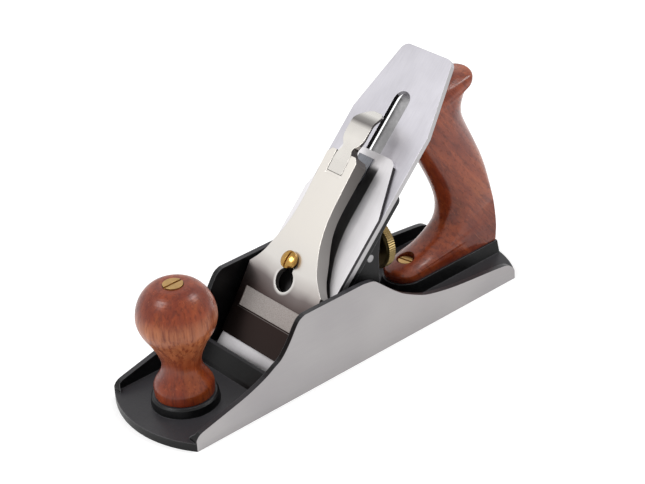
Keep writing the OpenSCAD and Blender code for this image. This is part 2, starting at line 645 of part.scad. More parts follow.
// Knob: turned foot, waist and ball
module knob() color("sienna") translate([knob_x, 0, knob_boss_h]) difference() {
    b = knob_base_d / 2;
    w = knob_waist_d / 2;
    k = knob_d / 2;
    h = knob_h;
    rotate_extrude($fn = 96) polygon(concat([[0, 0]],
        smooth([[b - 0.6, 0], [b, 0.8], [b + 0.1, 4.5], [b - 0.1, 6.6], [b - 1.3, 8.9],
            [b - 2.9, 11.2], [w + 1, 14.4], [w, 0.275 * h], [w + 0.6, 0.345 * h],
            [w + 2.5, 0.42 * h], [k - 5.3, 0.512 * h], [k - 1.8, 0.6 * h], [k, 0.69 * h],
            [k - 0.45, 0.78 * h], [k - 2.1, 0.854 * h], [k - 4.6, 0.914 * h],
            [k - 7.9, 0.962 * h], [k - 11.6, 0.988 * h], [nut_d / 2 + 0.6, h - 0.4]], 3),
        [[0, h - 0.4]]));
    translate([0, 0, -1]) cylinder(d = bolt_d + fit, h = h + 10);
    translate([0, 0, h - 5]) cylinder(d = nut_d + 0.4, h = 20);
}

module knob_bolt() color("silver") translate([knob_x, 0, bolt_hole_floor + 0.5])
    cylinder(d = bolt_d, h = knob_boss_h + knob_h - 7.1);

module brass_nut(slot = 1.4) difference() {
    union() {
        cylinder(d = nut_d - 3, h = 3);
        translate([0, 0, 2.5]) rotate_extrude() polygon([[0, 0], [nut_d / 2, 0],
            [nut_d / 2, 1.6], [nut_d / 2 - 0.6, 2.4], [nut_d / 4, 2.8], [0, 2.9]]);
    }
    translate([-nut_d, -slot / 2, 3.9]) cube([2 * nut_d, slot, 5]);
}

module knob_nut() color("goldenrod") translate([knob_x, 0, knob_boss_h + knob_h - 4.9])
    rotate([0, 0, -38]) difference() {
        translate([0, 0, -0.05]) brass_nut();
        translate([0, 0, -1]) cylinder(d = bolt_d + fit, h = 2.6);
    }

// Handle: rings from front edge to back edge, bottom to top, each with its half thickness
tote_bolt_x = 113;
tote_bolt_tilt = 6.2;
tote_nut_l = 119.2;
toe_screw_x = 65.5;
toe_screw_d = 4.6;
toe_screw_head_d = 8.6;
toe_screw_z = tote_pad_h + 9;
tote_rise = tote_pad_h - 12;
tote_rings = [
    // front x, front z, back x, back z, share of the half thickness, rounding in front,
    // rounding behind, fall of the front toward its sides
    [52.8, 12, 128.4, 12, 0.96, 11.5, 1.5, 0], [52.1, 13.5, 128.9, 13.5, 1, 12, 1.5, 0],
    [52.1, 16.2, 129.3, 17, 1, 12, 1.5, 0.6], [53.8, 18.6, 129.7, 21, 1, 12, 1.6, 1.8],
    [58, 20.6, 129.8, 25, 1, 12.5, 1.8, 3], [64.4, 22.3, 129.8, 29, 0.99, 13.5, 2, 3.7],
    [72.6, 24, 129.8, 33, 0.98, 15, 2.4, 4], [81.6, 27, 129.7, 37.4, 0.98, 16, 3, 3.4],
    [89.6, 31.6, 129.4, 42.4, 0.98, 17, 4, 2], [93, 38.8, 128.6, 49, 0.98, 17.5, 5.5, 0.8],
    [93, 48, 127.4, 57, 1, 17.5, 8, 0], [89.6, 58.8, 125.2, 66.8, 1, 17.5, 11, 0],
    [84.8, 69.2, 121.4, 77, 1, 17.5, 14.5, 0], [79.8, 79, 116.8, 87, 1, 17.5, 17, 0],
    [75.6, 87.4, 112.4, 96, 1, 17.5, 17.5, 0], [72.6, 94.2, 109.8, 103.8, 1, 17.5, 17.5, 0],
    [70.4, 100, 110.4, 110, 0.99, 17.5, 18, 0], [68.8, 104.6, 112.6, 115.6, 0.98, 17.5, 18, 0],
    [68.2, 107.6, 115, 119.6, 0.97, 17, 17, 0], [69.5, 110, 115.9, 121.8, 0.99, 16, 8, 0],
    [72.5, 113.6, 117, 125.2, 0.95, 15, 7, 0], [77, 117.2, 116.4, 127, 0.88, 14, 8, 0],
    [82.6, 120.6, 113.4, 127, 0.76, 13, 9, 0], [88.6, 123.8, 108.6, 127.4, 0.55, 9, 8, 0],
    [94, 126.1, 104, 127.6, 0.26, 5, 5, 0]];
tote_sides = 28;

function tote_point(r, a) = let (dx = (r[2] - r[0]) / 2, dz = (r[3] - r[1]) / 2,
    half = sqrt(dx * dx + dz * dz), back = cos(a) >= 0, e = min(r[back ? 6 : 5], half - 0.5),
    s = (back ? 1 : -1) * (half - e) + e * cos(a), f = s / half,
    fall = back ? 0 : r[7] * sin(a) * sin(a))
    [(r[0] + r[2]) / 2 + dx * f, r[4] * tote_t / 2 * sin(a),
        (r[1] + r[3]) / 2 + dz * f + tote_rise - fall];

module tote_body() {
    rings = smooth(tote_rings, 2);
    n = tote_sides;
    m = len(rings);
    pts = [for (r = rings) for (j = [0:n - 1]) tote_point(r, (j + 0.5) * 360 / n)];
    polyhedron(pts, concat([[for (j = [0:n - 1]) j]],
        [for (i = [0:m - 2]) for (j = [0:n - 1]) let (k = (j + 1) % n)
            for (t = [[i * n + j, (i + 1) * n + j, (i + 1) * n + k],
                [i * n + j, (i + 1) * n + k, i * n + k]]) t],
        [[for (j = [n - 1:-1:0]) (m - 1) * n + j]]), convexity = 6);
}

module tote_bolt_line() translate([tote_bolt_x, 0, 0]) rotate([0, -tote_bolt_tilt, 0]) children();

module tote() color("sienna") difference() {
    tote_body();
    tote_bolt_line() {
        cylinder(d = bolt_d + fit, h = 150);
        translate([0, 0, tote_nut_l]) cylinder(d = nut_d + 0.4, h = 30);
    }
    translate([toe_screw_x, 0, 0]) cylinder(d = toe_screw_d + fit, h = 60);
    translate([toe_screw_x, 0, toe_screw_z]) cylinder(d = toe_screw_head_d + 0.8, h = 30);
}

module tote_bolt() color("silver") tote_bolt_line() translate([0, 0, 3.4])
    cylinder(d = bolt_d, h = tote_nut_l - 3.4 + 1.4);

module tote_nut() color("goldenrod") tote_bolt_line() translate([0, 0, tote_nut_l + 0.02])
    difference() {
        brass_nut();
        translate([0, 0, -1]) cylinder(d = bolt_d + fit, h = 2.6);
    }

module tote_toe_screw() color("goldenrod") translate([toe_screw_x, 0, toe_screw_z])
    rotate([0, 0, -50]) slotted_screw(toe_screw_d, toe_screw_z - 3.6, toe_screw_head_d, 2.6);

sole_casting();
frog();
frog_pins();
frog_locking_screws();
frog_adjust_screw();
frog_clip();
frog_clip_screw();
depth_stud();
depth_wheel();
yoke();
yoke_pin();
lateral_lever();
lateral_rivet();
lateral_roller();
iron();
chip_breaker();
chip_breaker_screw();
lever_cap();
lever_cap_screw();
cam_lever();
cam_pin();
cam_spring();
cam_spring_rivet();
knob();
knob_bolt();
knob_nut();
tote();
tote_bolt();
tote_nut();
tote_toe_screw();
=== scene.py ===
import math

import bmesh
import bpy
from mathutils import Matrix, Vector


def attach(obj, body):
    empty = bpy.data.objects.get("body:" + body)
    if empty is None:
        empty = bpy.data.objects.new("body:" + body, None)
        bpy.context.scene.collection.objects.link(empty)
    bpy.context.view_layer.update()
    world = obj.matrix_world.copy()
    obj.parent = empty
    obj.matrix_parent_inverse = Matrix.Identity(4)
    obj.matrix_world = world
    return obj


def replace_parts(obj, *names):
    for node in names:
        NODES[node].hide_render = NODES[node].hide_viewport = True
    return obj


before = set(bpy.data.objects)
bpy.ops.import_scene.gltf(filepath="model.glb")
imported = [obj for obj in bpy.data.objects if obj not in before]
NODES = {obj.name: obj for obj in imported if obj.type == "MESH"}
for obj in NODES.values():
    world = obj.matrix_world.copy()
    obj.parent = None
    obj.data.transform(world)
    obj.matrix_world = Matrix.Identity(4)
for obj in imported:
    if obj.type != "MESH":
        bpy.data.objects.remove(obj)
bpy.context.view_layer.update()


# Camera: it looks down on the near cheek, with the toe to the left
CAMERA_AT = (-0.576020, -0.709126, 0.594006)
CAMERA_HEADING, CAMERA_DIP, CAMERA_ROLL = -39.3038, 30.2774, -3.9342
SENSOR_WIDTH, LENS = 36.0, 107.308
VIEW_END = 20.0


def make_camera():
    data = bpy.data.cameras.new("camera")
    data.sensor_width, data.lens = SENSOR_WIDTH, LENS
    data.clip_end = VIEW_END
    cam = bpy.data.objects.new("camera", data)
    bpy.context.scene.collection.objects.link(cam)
    cam.matrix_world = (Matrix.Translation(CAMERA_AT)
                        @ Matrix.Rotation(math.radians(CAMERA_HEADING), 4, "Z")
                        @ Matrix.Rotation(math.radians(90 - CAMERA_DIP), 4, "X")
                        @ Matrix.Rotation(math.radians(CAMERA_ROLL), 4, "Z"))
    bpy.context.scene.camera = cam


make_camera()


# Material maths
class Val:
    """A value or vector inside a material that takes plain arithmetic."""

    def __init__(self, finish, out):
        self.finish, self.out = finish, out

    def op(self, operation, *others):
        sockets = {i: v for i, v in enumerate((self,) + others)}
        return self.finish.node("Math", {"operation": operation}, sockets)

    def __add__(self, o): return self.op("ADD", o)
    __radd__ = __add__
    def __mul__(self, o): return self.op("MULTIPLY", o)
    __rmul__ = __mul__
    def __sub__(self, o): return self.op("SUBTRACT", o)
    def __rsub__(self, o): return (self * -1.0) + o
    def __pow__(self, o): return self.op("POWER", o)
    def __gt__(self, o): return self.op("GREATER_THAN", o)
    def __lt__(self, o): return self.op("LESS_THAN", o)
    def __abs__(self): return self.op("ABSOLUTE")
    def high(self, o): return self.op("MAXIMUM", o)


def lin(r, g, b):
    """A colour given as 0-255 on screen, as Blender's linear value."""
    out = []
    for c in (r, g, b):
        c = c / 255
        out.append(c / 12.92 if c <= 0.04045 else ((c + 0.055) / 1.055) ** 2.4)
    return (*out, 1.0)


BEVEL_SAMPLES = 6


class Finish:
    """A material, its shader and the nodes in it."""

    def __init__(self, name, **fixed):
        self.mat = bpy.data.materials.new(name)
        self.mat.use_nodes = True
        self.tree = self.mat.node_tree
        self.shader = self.tree.nodes["Principled BSDF"]
        for key, value in fixed.items():
            self.shader.inputs[key.replace("_", " ")].default_value = value
        self.coords = self.tree.nodes.new("ShaderNodeTexCoord")

    def node(self, kind, settings=None, sockets=None, out=0):
        """A new node of that kind, its settings first, then the values or links of its sockets."""
        n = self.tree.nodes.new("ShaderNode" + kind)
        for key, value in (settings or {}).items():
            if key == "stops":
                ramp = n.color_ramp
                while len(ramp.elements) < len(value):
                    ramp.elements.new(0.5)
                for e, (at, colour) in zip(ramp.elements, value):
                    e.position, e.color = at, colour
            else:
                setattr(n, key, value)
        for key, value in (sockets or {}).items():
            self.plug(n.inputs[key], value)
        return Val(self, n.outputs[out])

    def plug(self, socket, value):
        if isinstance(value, Val):
            self.tree.links.new(value.out, socket)
        else:
            socket.default_value = value

    def place(self):
        """Where a point of the surface is, in the part's own frame."""
        return Val(self, self.coords.outputs["Object"])

    def facing(self):
        """Which way the surface looks, in the part's own frame."""
        return Val(self, self.coords.outputs["Normal"])

    def parts(self, vector):
        n = self.tree.nodes.new("ShaderNodeSeparateXYZ")
        self.tree.links.new(vector.out, n.inputs[0])
        return [Val(self, o) for o in n.outputs]

    def scaled(self, vector, sizes):
        return self.node("VectorMath", {"operation": "MULTIPLY"}, {0: vector, 1: sizes})

    def turned(self, vector, angles, start):
        radians = [math.radians(a) for a in angles]
        return self.node("Mapping", {"vector_type": "POINT"},
                         {"Vector": vector, "Rotation": radians, "Location": start})

    def noise(self, vector, scale, detail=2.0, rough=0.5, warp=0.0):
        return self.node("TexNoise", None, {"Vector": vector, "Scale": scale, "Detail": detail,
                                            "Roughness": rough, "Distortion": warp})

    def ramp(self, value, stops):
        return self.node("ValToRGB", {"stops": stops}, {0: value})

    def span(self, value, low, high, to_low=0.0, to_high=1.0, smooth=True):
        return self.node("MapRange", {"interpolation_type": "SMOOTHSTEP" if smooth else "LINEAR"},
                         {0: value, 1: low, 2: high, 3: to_low, 4: to_high})

    def blend(self, factor, a, b):
        return self.node("Mix", {"data_type": "RGBA"}, {0: factor, 6: a, 7: b}, out=2)

    def finish(self, **changing):
        for key, value in changing.items():
            self.plug(self.shader.inputs[key.replace("_", " ")], value)
        return self.mat

    def edges(self, radius):
        """1 along sharp edges, 0 on open faces."""
        soft = self.node("Bevel", {"samples": BEVEL_SAMPLES}, {"Radius": radius})
        flat = self.node("NewGeometry", out=1)
        turn = self.node("VectorMath", {"operation": "DOT_PRODUCT"}, {0: soft, 1: flat}, out=1)
        return self.span(turn, 0.97, 0.8)

    def relief(self, height, distance, edge):
        """Bump on top of edges that catch the light as if they were rounded by that radius."""
        soft = self.node("Bevel", {"samples": BEVEL_SAMPLES}, {"Radius": edge})
        return self.node("Bump", None, {"Height": height, "Distance": distance, "Normal": soft})


# Where the bed plane meets the sole, and its slope, as the part's source gives them
BED_X = -0.05065
BED_SLOPE = math.radians(45)
# The keyhole's round end: its place along the bed and its radius, in mm
KEYHOLE_U, KEYHOLE_R = 52.0, 6.6
# The lever cap's plain panel in metres: half its width, its ends along the bed, the least height
# of its floor, and the slanted plane just over that floor (height at u = 0, and rise per metre)
PANEL_HALF, PANEL_FOOT, PANEL_HEAD = 0.0253, 0.02815, 0.0397
PANEL_LEAST, PANEL_START, PANEL_RISE = 0.008, 0.00435, 0.19
# The painted highlight on the keyhole's rim: its outer and inner radius, and where it fades along
# the bed
RIM_OUTER, RIM_INNER, RIM_FADE, RIM_END = 0.0088, 0.0069, 0.0535, 0.0575
# The thin painted highlight line below the panel, in metres
HIGHLIGHT_LINE_HALF, HIGHLIGHT_LINE_LOW, HIGHLIGHT_LINE_HIGH = 0.0262, 0.02705, 0.0274
# Half the width of the strip that the iron's slot walls lie in
SLOT_REACH = 0.012
# How round the edges of metal look, and how deep its streaks and its faint waves are, in metres
METAL_EDGE, CAP_EDGE, STREAK_DEPTH, CLOUD_DEPTH = 0.0003, 0.0004, 0.000006, 0.000004
# How round a cast edge looks, how wide its worn edges with their painted highlight are, and how
# deep the grit is
CAST_EDGE, CAST_WEAR_AND_HIGHLIGHT, CAST_GRIT = 0.0005, 0.0007, 0.00008
# The growth rings' width, the pores' depth, and how round the wood's edges look
RING_WIDTH, PORE_DEPTH, WOOD_EDGE = 0.0052, 0.00005, 0.0006


def along_bed(f, p):
    """Distance along the bed from the sole, height over it, and the sideways place."""
    x, y, z = f.parts(p)
    c, s = math.cos(BED_SLOPE), math.sin(BED_SLOPE)
    return (x - BED_X) * c + z * s, z * c - (x - BED_X) * s, y


def sideways(f):
    """How far a face looks to either side, from 0 to 1."""
    return abs(f.parts(f.facing())[1])


def cast_enamel(name, ground=None):
    """Black enamel on cast iron, its edges lighter as wear and a painted highlight; ground gives
    how far out the bare ground cheeks lie, and brings a painted sheen on faces that look up.
    """
    f = Finish(name, Coat_IOR=1.45, Coat_Roughness=0.2, Specular_IOR_Level=0.24)
    p = f.place()
    grit = f.noise(p, 1100.0, 3.0, 0.6)
    swell = f.noise(p, 150.0, 2.0, 0.5)
    worn = f.edges(CAST_WEAR_AND_HIGHLIGHT)
    colour = f.blend(f.span(swell, 0.35, 0.7), lin(4, 4, 5), lin(8, 8, 9))
    # Edges are lighter: partly real wear, partly a painted highlight.
    colour = f.blend(worn, colour, lin(82, 82, 85))
    rough = f.span(grit, 0.3, 0.7, 0.3, 0.42)
    bump = grit * 0.7 + swell * 0.5
    if not ground:
        return f.finish(Base_Color=colour, Roughness=rough, Coat_Weight=worn * 0.9,
                        Normal=f.relief(bump, CAST_GRIT, CAST_EDGE))
    _, y, z = f.parts(p)
    upward = f.parts(f.facing())[2]
    cheek = (sideways(f) > 0.98) * (abs(y) > ground)
    sole = (upward < -0.99) * (z < 0.0005)
    bare = cheek.high(sole)
    # Painted sheen: faces that look up are lighter.
    colour = f.blend(f.span(upward, 0.85, 0.98), colour, lin(50, 49, 52))
    scratch = f.noise(f.scaled(p, (24.0, 400.0, 900.0)), 3.0, 3.0, 0.6)
    cloud = f.noise(p, 18.0, 2.0, 0.5)
    steel = f.blend(f.span(scratch * 0.35 + cloud * 0.65, 0.3, 0.7),
                    lin(155, 152, 153), lin(169, 166, 166))
    return f.finish(
        Base_Color=f.blend(bare, colour, steel),
        Metallic=bare * 0.9,
        Roughness=rough * (1 - bare) + bare * f.span(scratch, 0.3, 0.7, 0.4, 0.48),
        Coat_Weight=worn * (1 - bare) * 0.9,
        Normal=f.relief(bump * (1 - bare) + scratch * bare * 0.08, CAST_GRIT, CAST_EDGE))


# Half the lever cap's width along the bed, as the source has it: (bed distance, half width), mm
CAP_HALF = ((40, 30), (52.5, 30), (57, 25.6), (62, 21.8), (69, 18.4), (76, 15.5), (84, 13.4),
            (92, 12.2), (100, 11.8), (140, 11.8))
# Where the shade beside the cap starts and fades out along the bed, in metres
SHADE_FOOT, SHADE_FADE, SHADE_HEAD = 0.045, 0.128, 0.132


def painted_cap_shade(f, p, wide):
    """1 under the lever cap and on a strip beside it, where a polished face takes a painted dark
    reflection and shade of the cap.
    """
    u, _, y = along_bed(f, p)
    first, last = CAP_HALF[0][0], CAP_HALF[-1][0]
    widest = CAP_HALF[0][1]
    stops = [((at - first) / (last - first), (half / widest,) * 3 + (1,))
             for at, half in CAP_HALF]
    half = f.ramp(f.span(u * 1000, first, last, smooth=False), stops)
    away = abs(y) * 1000 - half * widest
    return (f.span(away, wide + 0.5, wide - 0.4)
            * f.span(u, SHADE_HEAD, SHADE_FADE) * (u > SHADE_FOOT))


def brushed(name, low, high, rough, grain, spots=0.0, side=None, slot_shade=None, painted_shade_reach=0.0):
    """Bare or plated metal with fine streaks; grain gives the streak's scale along x, y, z.

    spots is how strong the tarnish is; side is the painted shade colour of the faces that look
    sideways, which are also rougher, and slot_shade the painted shade of such faces in a slot
    along the middle;
    painted_shade_reach is how far beside the lever cap, in mm, the face carries a painted dark
    reflection and shade."""
    f = Finish(name, Metallic=1.0)
    p = f.place()
    streak = f.noise(f.scaled(p, grain), 1.0, 4.0, 0.65)
    cloud = f.noise(p, 30.0, 3.0, 0.6)
    colour = f.blend(f.span(streak * 0.4 + cloud * 0.6, 0.32, 0.68), low, high)
    if spots:
        worn = f.span(f.noise(p, 260.0, 4.0, 0.7), 0.62, 0.74)
        colour = f.blend(worn * spots, colour, lin(96, 80, 52))
    grade = f.span(streak * 0.5 + cloud * 0.5, 0.3, 0.7, rough * 0.9, rough * 1.1)
    if side:
        flank = sideways(f) > 0.9
        # Painted shade: faces that look sideways take the side colour.
        colour = f.blend(flank, colour, side)
        if slot_shade:
            # Painted shade on the walls of the slot along the middle.
            colour = f.blend(flank * (abs(f.parts(p)[1]) < SLOT_REACH), colour, slot_shade)
        grade = grade + flank * 0.12
    if painted_shade_reach:
        # Painted dark reflection and shade on the strip beside the lever cap.
        colour = f.blend(painted_cap_shade(f, p, painted_shade_reach) * 0.92, colour, lin(34, 32, 32))
    return f.finish(Base_Color=colour, Roughness=grade,
                    Normal=f.relief(streak, STREAK_DEPTH, METAL_EDGE))


def cap_plating(name):
    """Polished plating, painted a dark bronze grey at the cap's foot as a painted reflection, with
    painted highlights at the keyhole and under the panel and painted shade on its walls, round a
    plain panel.
    """
    f = Finish(name, Metallic=1.0)
    p = f.place()
    u, h, y = along_bed(f, p)
    drift = f.noise(p, 26.0, 3.0, 0.5)
    streak = f.noise(f.scaled(p, (60.0, 900.0, 60.0)), 1.0, 4.0, 0.65)
    # Painted dark reflection: darker towards the cap's foot, light towards its top.
    reach = u * 1000 + (drift - 0.5) * 9 - y * 40
    tone_with_painted_light = f.ramp(f.span(reach, 8.0, 78.0, smooth=False),
                  [(0.0, lin(50, 42, 40)), (0.3, lin(50, 40, 38)), (0.44, lin(80, 68, 66)),
                   (0.56, lin(122, 113, 111)), (0.64, lin(192, 186, 182)),
                   (0.74, lin(220, 216, 211)), (1.0, lin(222, 217, 210))])
    # Painted highlight: a thin light line under the panel.
    line = (abs(y) < HIGHLIGHT_LINE_HALF) * (u > HIGHLIGHT_LINE_LOW) * (u < HIGHLIGHT_LINE_HIGH)
    tone_with_painted_light = f.blend(line * 0.4, tone_with_painted_light, lin(150, 143, 140))
    # Painted highlight round the keyhole's rim.
    off = ((u - KEYHOLE_U / 1000) ** 2 + y ** 2).op("SQRT")
    rim_highlight = f.span(off, RIM_OUTER, RIM_INNER) * f.span(u, RIM_END, RIM_FADE)
    tone_with_painted_light = f.blend(rim_highlight * 0.85, tone_with_painted_light, lin(232, 229, 225))
    inside = (abs(y) < PANEL_HALF) * (u > PANEL_FOOT) * (u < PANEL_HEAD)
    sunk = inside * (h < PANEL_START + PANEL_RISE * u) * (h > PANEL_LEAST)
    panel = f.blend(f.span(f.noise(p, 2400.0, 2.0), 0.35, 0.65),
                    lin(150, 143, 140), lin(172, 165, 161))
    tone_with_painted_light = f.blend(sunk, tone_with_painted_light, panel)
    # Painted shade on the cap's side walls, darker towards the fork.
    flank = (sideways(f) > 0.6) * (1 - sunk)
    painted_wall_shade = f.blend(f.span(u, 0.07, 0.13), lin(150, 147, 144), lin(104, 100, 97))
    tone_with_painted_light = f.blend(flank, tone_with_painted_light, painted_wall_shade)
    return f.finish(Base_Color=tone_with_painted_light,
                    Roughness=0.27 + streak * 0.05 + flank * 0.14 + sunk * 0.2,
                    Normal=f.relief(streak, CLOUD_DEPTH, CAP_EDGE))


def hardwood(name, tilt, start, figure, dark, pale, coat, gloss, run, band=None):
    """Lacquered red-brown hardwood; tilt turns the grain from upright, start moves the figure.

    figure is the way across the growth rings, in the turned frame; coat and gloss are the
    lacquer's weight and roughness; run shortens the grain's streaks; band is the heights
    between which the wood is paler."""
    f = Finish(name, Coat_Roughness=gloss, Coat_IOR=1.5, Specular_IOR_Level=0.1)
    p = f.turned(f.place(), tilt, start)
    x, y, z = f.parts(p)
    wide = f.noise(f.scaled(p, (70.0, 70.0, 9.0 * run)), 1.0, 4.0, 0.55, 0.4)
    fine = f.noise(f.scaled(p, (420.0, 420.0, 20.0 * run)), 1.0, 5.0, 0.6)
    fleck = f.noise(f.scaled(p, (950.0, 950.0, 110.0 * run)), 1.0, 3.0, 0.5)
    across = x * figure[0] + y * figure[1] + z * figure[2] + wide * 0.006
    ring = (across * (2 * math.pi / RING_WIDTH)).op("SINE") * 0.5 + 0.5
    body = f.blend(f.span(wide, 0.3, 0.7), dark, pale)
    patch = f.noise(f.scaled(p, (40.0, 40.0, 22.0)), 1.0, 3.0, 0.6, 0.6)
    body = f.blend(f.span(patch, 0.5, 0.66) * 0.4, body, lin(158, 82, 34))
    if band:
        zone = f.span(z, band[0] - 0.022, band[0]) * f.span(z, band[1] + 0.003, band[1] - 0.005)
        body = f.blend(zone * (0.26 + f.span(fine, 0.66, 0.4) * 0.3), body, lin(184, 118, 76))
    body = f.blend(ring * 0.26, body, lin(96, 30, 13))
    body = f.blend(f.span(fine, 0.48, 0.64) * 0.5, body, lin(84, 28, 14))
    light = f.span(f.noise(f.scaled(p, (900.0, 900.0, 60.0)), 1.0, 3.0, 0.5, 0.2), 0.6, 0.75)
    body = f.blend(light * 0.3, body, lin(182, 98, 54))
    pores = f.span(fleck, 0.56, 0.66)
    body = f.blend(pores * 0.36, body, lin(64, 25, 15))
    return f.finish(Base_Color=body,
                    Roughness=f.span(fine, 0.3, 0.7, 0.4, 0.52),
                    Coat_Weight=coat - pores * 0.2,
                    Normal=f.relief(fine * 0.4 - pores * 0.5, PORE_DEPTH, WOOD_EDGE))


def lever_plating(name):
    """Smooth plating with a darker band across the lever's bend, where it turns from the light."""
    f = Finish(name, Metallic=1.0)
    p = f.place()
    u = along_bed(f, p)[0]
    cloud = f.noise(p, 40.0, 3.0, 0.6)
    # Painted shade: the darker stops across the lever's bend.
    tone_with_painted_light = f.ramp(f.span(u * 1000, 118.0, 158.0, smooth=False),
                  [(0.0, lin(216, 212, 206)), (0.5, lin(220, 216, 210)),
                   (0.68, lin(206, 202, 197)), (0.75, lin(122, 118, 116)),
                   (0.82, lin(150, 147, 144)), (0.9, lin(222, 219, 214))])
    # Painted shade on the faces that look sideways.
    tone_with_painted_light = f.blend(sideways(f) > 0.8, tone_with_painted_light, lin(84, 80, 78))
    return f.finish(Base_Color=tone_with_painted_light, Roughness=f.span(cloud, 0.3, 0.7, 0.24, 0.32),
                    Normal=f.relief(cloud, CLOUD_DEPTH, METAL_EDGE))


FINISHES = {
    "casting_enamel": cast_enamel("casting_enamel", 0.036),
    "frog_enamel": cast_enamel("frog_enamel"),
    "steel": brushed("steel", lin(140, 139, 140), lin(170, 169, 170), 0.36, (400, 400, 400)),
    "blade_steel": brushed("blade_steel", lin(186, 184, 190), lin(197, 195, 201), 0.38,
                           (90, 1400, 90), side=lin(176, 174, 175), slot_shade=lin(44, 43, 44)),
    "nickel": brushed("nickel", lin(206, 202, 196), lin(220, 216, 210), 0.28, (60, 900, 60)),
    "brass": brushed("brass", lin(126, 108, 72), lin(152, 134, 94), 0.42, (500, 500, 500),
                     spots=0.3),
    "dark_iron": cast_enamel("dark_iron"),
    "spring_steel": brushed("spring_steel", lin(110, 112, 118), lin(140, 142, 148), 0.3,
                            (200, 900, 200)),
    "hardwood": hardwood("hardwood", (0, 38, 0), (0, 0, 0), (0.9, 0.3, 0.0),
                         lin(108, 37, 15), lin(148, 68, 34), 0.72, 0.17, 3.2),
}
KNOB_WOOD = hardwood("knob_wood", (0, 0, 0), (0.03, 0.01, 0), (0.8, -0.6, 0.05),
                     lin(106, 34, 11), lin(144, 62, 25), 0.6, 0.26, 1.0, band=(0.048, 0.064))
LEVER_PLATING = lever_plating("lever_plating")
POLISHED_BRASS = brushed("polished_brass", lin(130, 94, 40), lin(190, 150, 84), 0.15,
                         (400, 400, 400), spots=0.3)
TURNED_BRASS = brushed("turned_brass", lin(158, 126, 78), lin(190, 154, 100), 0.36,
                       (400, 400, 400), spots=0.25)
CAP_PLATING = cap_plating("cap_plating")
BREAKER_STEEL = brushed("breaker_steel", lin(206, 204, 206), lin(216, 214, 216), 0.5,
                        (90, 1100, 90), side=lin(70, 68, 70), painted_shade_reach=0.3)


def dress():
    """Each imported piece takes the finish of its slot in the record, and a few take their own."""
    for name, obj in NODES.items():
        for s in obj.material_slots:
            key = s.material.name.split(".")[0] if s.material else ""
            s.material = FINISHES.get(key, FINISHES["steel"])
    for name, own in (("knob", KNOB_WOOD), ("chip_breaker", BREAKER_STEEL),
                      ("lever_cap_screw", POLISHED_BRASS), ("tote_nut", TURNED_BRASS)):
        for s in NODES[name].material_slots:
            s.material = own


dress()


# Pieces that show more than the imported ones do
# How near, in metres, two corners are joined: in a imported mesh, in a carved one, and before its
# edges are softened
MEET, SLIVER, SOFTEN_WELD = 0.000001, 0.000003, 0.00006
# Edges that turn more than this are softened
SOFTEN_FROM = math.radians(40)
# Edges that turn more than this look sharp, on a plain mesh and on a softened one
CREASE, SOFT_CREASE = math.radians(32), math.radians(20)


def through(points, steps=5):
    """A smooth line through the points."""
    line = []
    for i in range(len(points) - 1):
        a, b = points[max(i - 1, 0)], points[i]
        c, d = points[i + 1], points[min(i + 2, len(points) - 1)]
        for k in range(steps):
            t = k / steps
            line.append(tuple(0.5 * (2 * q + (r - p) * t + (2 * p - 5 * q + 4 * r - w) * t ** 2
                                     + (3 * q - p - 3 * r + w) * t ** 3)
                              for p, q, r, w in zip(a, b, c, d)))
    return line + [tuple(points[-1])]


def circle(x, y, r, start=0, end=360, steps=48):
    """Points on a circle or arc; the arc's last point is left out."""
    turns = [math.radians(start + (end - start) * i / steps) for i in range(steps)]
    return [(x + r * math.cos(a), y + r * math.sin(a)) for a in turns]


def prism(outline, low, high, place):
    """A solid from an outline in mm between two heights; place puts (a, b, height) in space."""
    bm = bmesh.new()
    ends = [[bm.verts.new(place(a, b, t)) for a, b in outline] for t in (low, high)]
    bm.faces.new(ends[0])
    bm.faces.new(ends[1][::-1])
    for i in range(len(outline)):
        j = (i + 1) % len(outline)
        bm.faces.new((ends[0][j], ends[0][i], ends[1][i], ends[1][j]))
    bmesh.ops.recalc_face_normals(bm, faces=bm.faces)
    mesh = bpy.data.meshes.new("prism")
    bm.to_mesh(mesh)
    bm.free()
    return mesh


def welded(node):
    """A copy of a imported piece's mesh with its seams joined, shaded from its own faces."""
    bm = bmesh.new()
    bm.from_mesh(NODES[node].data)
    bmesh.ops.remove_doubles(bm, verts=bm.verts, dist=MEET)
    mesh = bpy.data.meshes.new(node + "_copy")
    bm.to_mesh(mesh)
    bm.free()
    for layer in [a for a in mesh.attributes if a.name == "custom_normal"]:
        mesh.attributes.remove(layer)
    return mesh


def carve(mesh, steps, soften=0.0):
    """The mesh after each (operation, mesh) step, its sharp edges softened by that many metres."""
    scene = bpy.context.scene.collection
    block = bpy.data.objects.new("block", mesh)
    scene.objects.link(block)
    tools = []
    for operation, other in steps:
        tool = bpy.data.objects.new("tool", other)
        scene.objects.link(tool)
        tools.append(tool)
        m = block.modifiers.new("carve", "BOOLEAN")
        m.operation, m.object, m.solver = operation, tool, "EXACT"
    if soften:
        m = block.modifiers.new("weld", "WELD")
        m.merge_threshold = SOFTEN_WELD
        m = block.modifiers.new("soften", "BEVEL")
        m.width, m.segments = soften, 2
        m.limit_method, m.angle_limit = "ANGLE", SOFTEN_FROM
    bpy.context.view_layer.update()
    done = bpy.data.meshes.new_from_object(block.evaluated_get(
        bpy.context.evaluated_depsgraph_get()))
    for o in tools + [block]:
        bpy.data.objects.remove(o)
    bm = bmesh.new()
    bm.from_mesh(done)
    bmesh.ops.remove_doubles(bm, verts=bm.verts, dist=SLIVER)
    bmesh.ops.dissolve_degenerate(bm, dist=SLIVER, edges=bm.edges)
    bm.to_mesh(done)
    bm.free()
    done.materials.clear()
    done.polygons.foreach_set("use_smooth", [True] * len(done.polygons))
    done.set_sharp_from_angle(angle=SOFT_CREASE if soften else CREASE)
    return done


